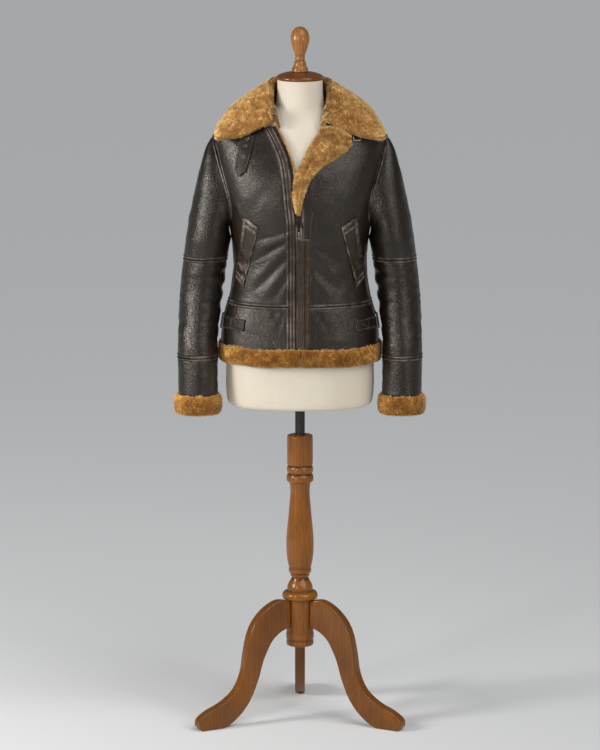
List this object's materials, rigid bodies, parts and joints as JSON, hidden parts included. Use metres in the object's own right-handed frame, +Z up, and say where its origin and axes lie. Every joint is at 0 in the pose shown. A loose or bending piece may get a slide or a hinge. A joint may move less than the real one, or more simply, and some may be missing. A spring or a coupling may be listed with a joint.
{
  "type": "shearling bomber jacket on a limbless dress form with a wooden stand",
  "caption": "Brown leather shearling bomber jacket with fur collar, cuffs and hem, worn by a limbless dress form on a turned wooden stand.",
  "frame": {"origin": "on the floor under the middle of the whole object's box, 66 mm behind the column's axis", "axes": "+Z up, the jacket's front faces -Y, the wearer's left is +X"},
  "size_m": [0.5908, 0.4268, 1.6405],
  "materials": {
    "leather": "very dark brown pebbled leather, semi-gloss",
    "fur": "golden brown sheepskin fur, long curly pile",
    "canvas": "cream cotton stretched over the form, matt",
    "wood": "reddish brown stained wood, satin varnish",
    "dark_steel": "blackened steel tube, satin",
    "antique_metal": "antique nickel zip and buckles"
  },
  "bodies": {
    "stand": {"column": "wood", "leg_left": "wood", "leg_right": "wood", "leg_back": "wood"},
    "pole": {"pole": "dark_steel"},
    "dressed_form": {"form": "canvas", "neck_cap": "wood", "finial": "wood", "front_left": "leather", "front_right": "leather", "front_strip_right": "leather", "placket": "leather", "back": "leather", "waist_front_left": "leather", "waist_front_right": "leather", "waist_back": "leather", "pocket_welt_left": "leather", "pocket_welt_right": "leather", "side_strap_left": "leather", "side_strap_right": "leather", "throat_strap": "leather", "sleeve_upper_left": "leather", "sleeve_upper_right": "leather", "sleeve_elbow_left": "leather", "sleeve_elbow_right": "leather", "sleeve_lower_left": "leather", "sleeve_lower_right": "leather", "collar": "fur", "lapel": "fur", "hem_fur": "fur", "cuff_left": "fur", "cuff_right": "fur", "zip_tape": "antique_metal", "zip_slider": "antique_metal", "side_buckle_left": "antique_metal", "side_buckle_right": "antique_metal", "throat_buckle": "antique_metal", "eyelet_1": "antique_metal", "eyelet_2": "antique_metal", "eyelet_3": "antique_metal"},
    "zip_pull": {"zip_pull": "antique_metal"}
  },
  "joints": [
    {"name": "height_slide", "type": "slide", "parent": "stand", "child": "pole", "axis": [0, 0, 1], "range_m": [-0.05, 0.2]},
    {"name": "form_swivel", "type": "hinge", "parent": "pole", "child": "dressed_form", "pos_m": [0, -0.06562, 0.85], "axis": [0, 0, 1], "continuous": true},
    {"name": "zip_pull_hinge", "type": "hinge", "parent": "dressed_form", "child": "zip_pull", "pos_m": [-0.003, -0.20697, 1.2005], "axis": [-1, 0, 0], "range_deg": [0, 110]}
  ]
}
